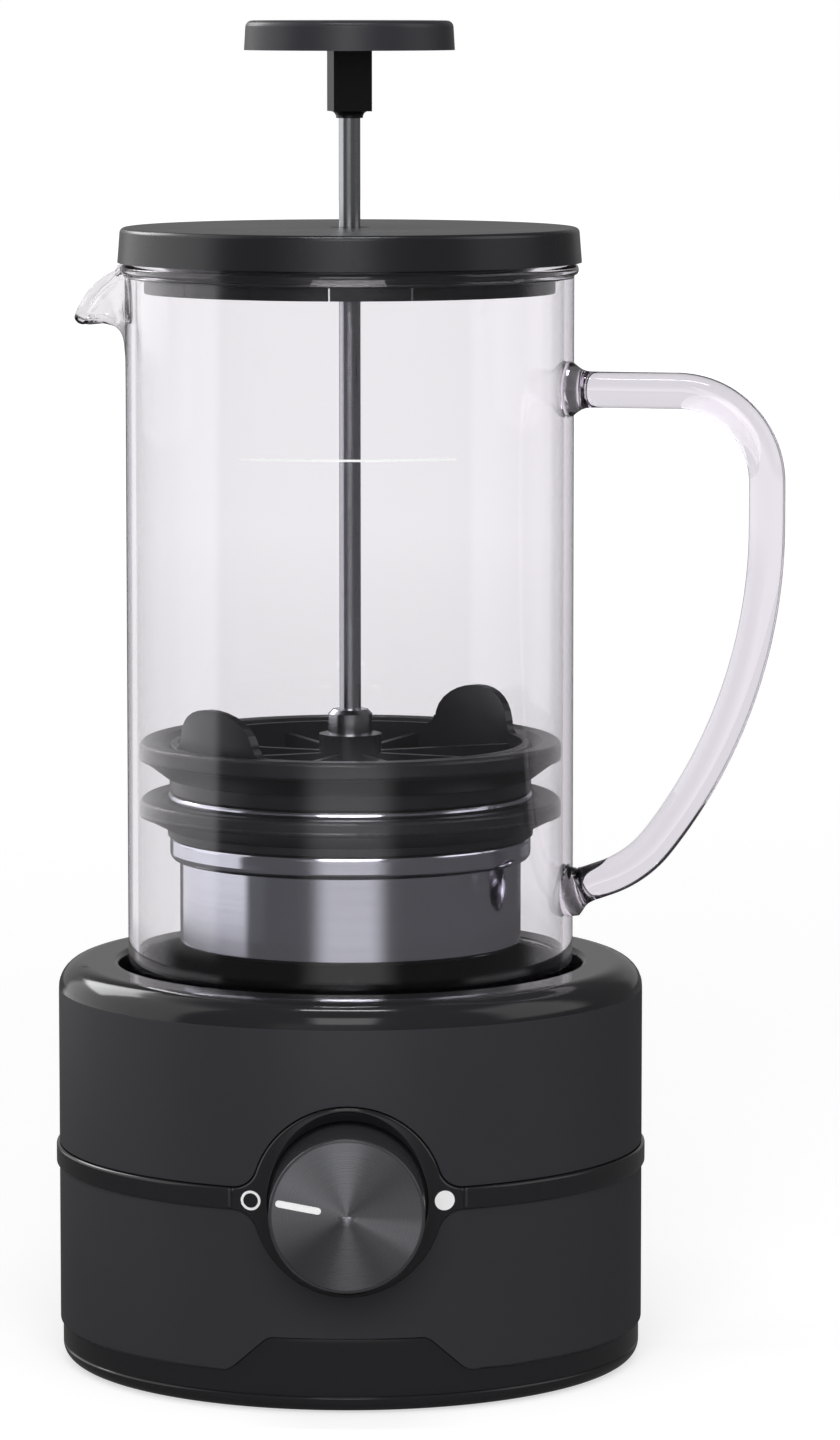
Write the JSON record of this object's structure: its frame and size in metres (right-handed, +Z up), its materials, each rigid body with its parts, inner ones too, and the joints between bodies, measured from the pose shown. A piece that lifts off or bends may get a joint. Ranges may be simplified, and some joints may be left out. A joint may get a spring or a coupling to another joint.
{
  "type": "cold brew coffee maker",
  "caption": "Cold brew coffee maker: a black base with a control knob, a glass carafe with handle and spout, and a plunger that carries a steel filter basket.",
  "frame": {"origin": "on the table under the axis of the base and the carafe", "axes": "+Z up along the carafe and the plunger rod; the knob faces -Y; the handle is on the +X side and the spout on the -X side"},
  "size_m": [0.1624, 0.1494, 0.3005],
  "materials": {
    "satin_black": "fine satin",
    "gloss_black": "gloss",
    "lid_black": "satin",
    "inner_black": "moulded",
    "silicone": "soft sheen",
    "white_ink": "printed",
    "glass": "clear borosilicate",
    "steel": "drawn",
    "polished_steel": "polished and brushed",
    "steel_mesh": "woven",
    "spun_metal": "dark spun",
    "zinc": "plated",
    "magnet": "nickel",
    "board": "solder mask",
    "components": "moulded",
    "wire": "insulation"
  },
  "bodies": {
    "base": {"plinth": "gloss_black", "lower_housing": "satin_black", "upper_housing": "satin_black", "waist_belt": "gloss_black", "dial_marks": "white_ink", "carafe_well": "gloss_black", "well_pad": "silicone", "base_plate": "inner_black", "rubber_feet": "silicone", "base_screws": "zinc", "motor_can": "zinc", "motor_end_cap": "inner_black", "motor_bracket": "zinc", "bracket_screws": "steel", "rotary_switch": "inner_black", "switch_nut": "zinc", "circuit_board": "board", "board_parts": "components", "wire_leads": "wire", "cord_bushing": "silicone"},
    "rotor": {"motor_shaft": "steel", "magnet_carrier": "inner_black", "drive_magnets": "magnet"},
    "knob": {"control_knob": "gloss_black", "knob_cap": "spun_metal", "knob_pointer": "white_ink", "switch_shaft": "steel"},
    "carafe": {"carafe_glass": "glass", "carafe_handle": "glass", "fill_line": "white_ink"},
    "agitator": {"stirrer": "inner_black", "stirrer_magnets": "magnet"},
    "lid": {"lid_cover": "lid_black", "lid_insert": "gloss_black", "lid_seal": "silicone", "rod_guide": "inner_black"},
    "plunger": {"plunger_knob": "lid_black", "knob_stem": "gloss_black", "plunger_rod": "steel", "rod_ferrule": "steel", "filter_cover": "inner_black", "cover_seal": "silicone", "cover_mesh": "steel_mesh"},
    "basket": {"filter_cup": "polished_steel", "cup_mesh": "steel_mesh", "cup_seal": "silicone"}
  },
  "joints": [
    {"name": "rotor_spin", "type": "hinge", "parent": "base", "child": "rotor", "pos_m": [0, 0, 0.05], "axis": [0, 0, 1], "continuous": true},
    {"name": "knob_turn", "type": "hinge", "parent": "base", "child": "knob", "pos_m": [0, -0.07, 0.0471], "axis": [0, 1, 0], "range_deg": [0, 158.2]},
    {"name": "carafe_lift", "type": "slide", "parent": "base", "child": "carafe", "axis": [0, 0, 1], "range_m": [0, 0.06]},
    {"name": "stirrer_spin", "type": "hinge", "parent": "carafe", "child": "agitator", "pos_m": [0, 0, 0.062], "axis": [0, 0, 1], "continuous": true},
    {"name": "lid_lift", "type": "slide", "parent": "carafe", "child": "lid", "axis": [0, 0, 1], "range_m": [0, 0.17]},
    {"name": "plunger_slide", "type": "slide", "parent": "lid", "child": "plunger", "axis": [0, 0, 1], "range_m": [-0.0235, 0.09]},
    {"name": "basket_twist", "type": "hinge", "parent": "plunger", "child": "basket", "pos_m": [0, 0, 0.12], "axis": [0, 0, 1], "range_deg": [0, 30]}
  ],
  "couplings": [
    {"joint": "stirrer_spin", "follows": "rotor_spin", "ratio": 1}
  ]
}
